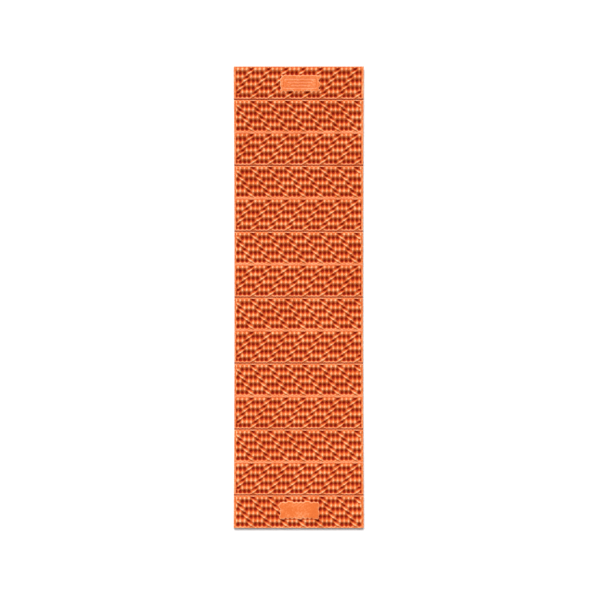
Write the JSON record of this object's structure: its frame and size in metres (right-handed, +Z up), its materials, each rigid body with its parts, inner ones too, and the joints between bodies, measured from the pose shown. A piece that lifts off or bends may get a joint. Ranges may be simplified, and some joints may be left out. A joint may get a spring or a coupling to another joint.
{
  "type": "foam sleeping pad",
  "caption": "Long closed-cell foam camping mat that folds up like an accordion, studded with moulded bumps on top and faced with reflective film underneath.",
  "frame": {"origin": "centre of the pad's outline, at the level of the underside it lies on", "axes": "+X across the width, +Y along the length towards the head-end panel, which is panel 01, +Z up out of the bumpy side"},
  "size_m": [0.51, 1.83, 0.023],
  "materials": {
    "upper_foam": "satin skin of a closed-cell polyethylene foam",
    "lower_foam": "matte closed-cell polyethylene foam",
    "reflective_film": "crinkled metallised film",
    "hinge_web": "crushed foam with a slight sheen"
  },
  "bodies": {
    "panel_01": {"reflective_film_01": "reflective_film", "lower_foam_01": "lower_foam", "upper_foam_01": "upper_foam"},
    "panel_02": {"reflective_film_02": "reflective_film", "lower_foam_02": "lower_foam", "upper_foam_02": "upper_foam", "hinge_web_01_02": "hinge_web"},
    "panel_03": {"reflective_film_03": "reflective_film", "lower_foam_03": "lower_foam", "upper_foam_03": "upper_foam", "hinge_web_02_03": "hinge_web"},
    "panel_04": {"reflective_film_04": "reflective_film", "lower_foam_04": "lower_foam", "upper_foam_04": "upper_foam", "hinge_web_03_04": "hinge_web"},
    "panel_05": {"reflective_film_05": "reflective_film", "lower_foam_05": "lower_foam", "upper_foam_05": "upper_foam", "hinge_web_04_05": "hinge_web"},
    "panel_06": {"reflective_film_06": "reflective_film", "lower_foam_06": "lower_foam", "upper_foam_06": "upper_foam", "hinge_web_05_06": "hinge_web"},
    "panel_07": {"reflective_film_07": "reflective_film", "lower_foam_07": "lower_foam", "upper_foam_07": "upper_foam", "hinge_web_06_07": "hinge_web", "hinge_web_07_08": "hinge_web"},
    "panel_08": {"reflective_film_08": "reflective_film", "lower_foam_08": "lower_foam", "upper_foam_08": "upper_foam", "hinge_web_08_09": "hinge_web"},
    "panel_09": {"reflective_film_09": "reflective_film", "lower_foam_09": "lower_foam", "upper_foam_09": "upper_foam", "hinge_web_09_10": "hinge_web"},
    "panel_10": {"reflective_film_10": "reflective_film", "lower_foam_10": "lower_foam", "upper_foam_10": "upper_foam", "hinge_web_10_11": "hinge_web"},
    "panel_11": {"reflective_film_11": "reflective_film", "lower_foam_11": "lower_foam", "upper_foam_11": "upper_foam", "hinge_web_11_12": "hinge_web"},
    "panel_12": {"reflective_film_12": "reflective_film", "lower_foam_12": "lower_foam", "upper_foam_12": "upper_foam", "hinge_web_12_13": "hinge_web"},
    "panel_13": {"reflective_film_13": "reflective_film", "lower_foam_13": "lower_foam", "upper_foam_13": "upper_foam", "hinge_web_13_14": "hinge_web"},
    "panel_14": {"reflective_film_14": "reflective_film", "lower_foam_14": "lower_foam", "upper_foam_14": "upper_foam"}
  },
  "joints": [
    {"name": "crease_01_02", "type": "hinge", "parent": "panel_02", "child": "panel_01", "pos_m": [0, 0.78429, 0.00685], "axis": [-1, 0, 0], "range_deg": [0, 180]},
    {"name": "crease_02_03", "type": "hinge", "parent": "panel_03", "child": "panel_02", "pos_m": [0, 0.65357, 0.01615], "axis": [1, 0, 0], "range_deg": [0, 180]},
    {"name": "crease_03_04", "type": "hinge", "parent": "panel_04", "child": "panel_03", "pos_m": [0, 0.52286, 0.00685], "axis": [-1, 0, 0], "range_deg": [0, 180]},
    {"name": "crease_04_05", "type": "hinge", "parent": "panel_05", "child": "panel_04", "pos_m": [0, 0.39214, 0.01615], "axis": [1, 0, 0], "range_deg": [0, 180]},
    {"name": "crease_05_06", "type": "hinge", "parent": "panel_06", "child": "panel_05", "pos_m": [0, 0.26143, 0.00685], "axis": [-1, 0, 0], "range_deg": [0, 180]},
    {"name": "crease_06_07", "type": "hinge", "parent": "panel_07", "child": "panel_06", "pos_m": [0, 0.13071, 0.01615], "axis": [1, 0, 0], "range_deg": [0, 180]},
    {"name": "crease_07_08", "type": "hinge", "parent": "panel_07", "child": "panel_08", "pos_m": [0, 0, 0.00685], "axis": [1, 0, 0], "range_deg": [0, 180]},
    {"name": "crease_08_09", "type": "hinge", "parent": "panel_08", "child": "panel_09", "pos_m": [0, -0.13071, 0.01615], "axis": [-1, 0, 0], "range_deg": [0, 180]},
    {"name": "crease_09_10", "type": "hinge", "parent": "panel_09", "child": "panel_10", "pos_m": [0, -0.26143, 0.00685], "axis": [1, 0, 0], "range_deg": [0, 180]},
    {"name": "crease_10_11", "type": "hinge", "parent": "panel_10", "child": "panel_11", "pos_m": [0, -0.39214, 0.01615], "axis": [-1, 0, 0], "range_deg": [0, 180]},
    {"name": "crease_11_12", "type": "hinge", "parent": "panel_11", "child": "panel_12", "pos_m": [0, -0.52286, 0.00685], "axis": [1, 0, 0], "range_deg": [0, 180]},
    {"name": "crease_12_13", "type": "hinge", "parent": "panel_12", "child": "panel_13", "pos_m": [0, -0.65357, 0.01615], "axis": [-1, 0, 0], "range_deg": [0, 180]},
    {"name": "crease_13_14", "type": "hinge", "parent": "panel_13", "child": "panel_14", "pos_m": [0, -0.78429, 0.00685], "axis": [1, 0, 0], "range_deg": [0, 180]}
  ]
}
